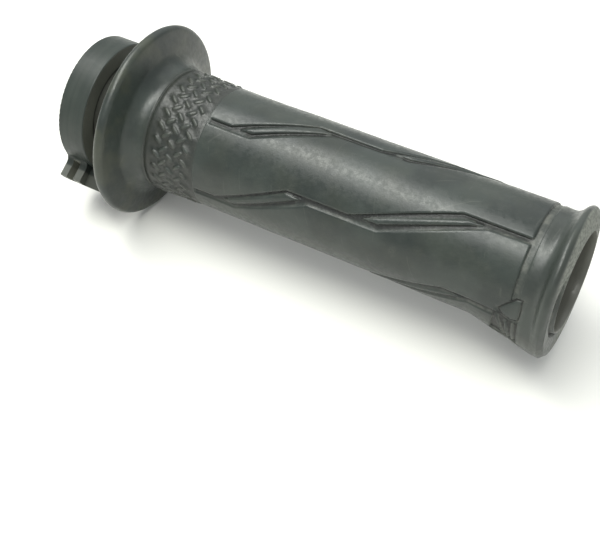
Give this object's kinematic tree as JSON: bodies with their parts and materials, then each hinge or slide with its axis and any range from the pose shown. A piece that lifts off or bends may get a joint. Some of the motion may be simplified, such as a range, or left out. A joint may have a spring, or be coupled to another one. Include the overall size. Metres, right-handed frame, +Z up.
{
  "type": "motorcycle twist-throttle grip",
  "caption": "Right-hand motorcycle twist grip: flanged rubber sleeve with zigzag channels on a plastic throttle tube with cable drum and lug.",
  "frame": {"origin": "on the handlebar's axis at the inboard end face of the throttle tube's cable drum", "axes": "+X along the handlebar towards the open outer end, +Y the direction of travel, -Y towards the rider, +Z up; the cable lug points down and towards the rider"},
  "size_m": [0.1404, 0.0534, 0.0534],
  "materials": {
    "tube_plastic": "satin moulded nylon",
    "grip_rubber": "satin moulded rubber"
  },
  "bodies": {
    "root": {"throttle_tube": "tube_plastic", "grip_rubber": "grip_rubber"}
  },
  "joints": []
}
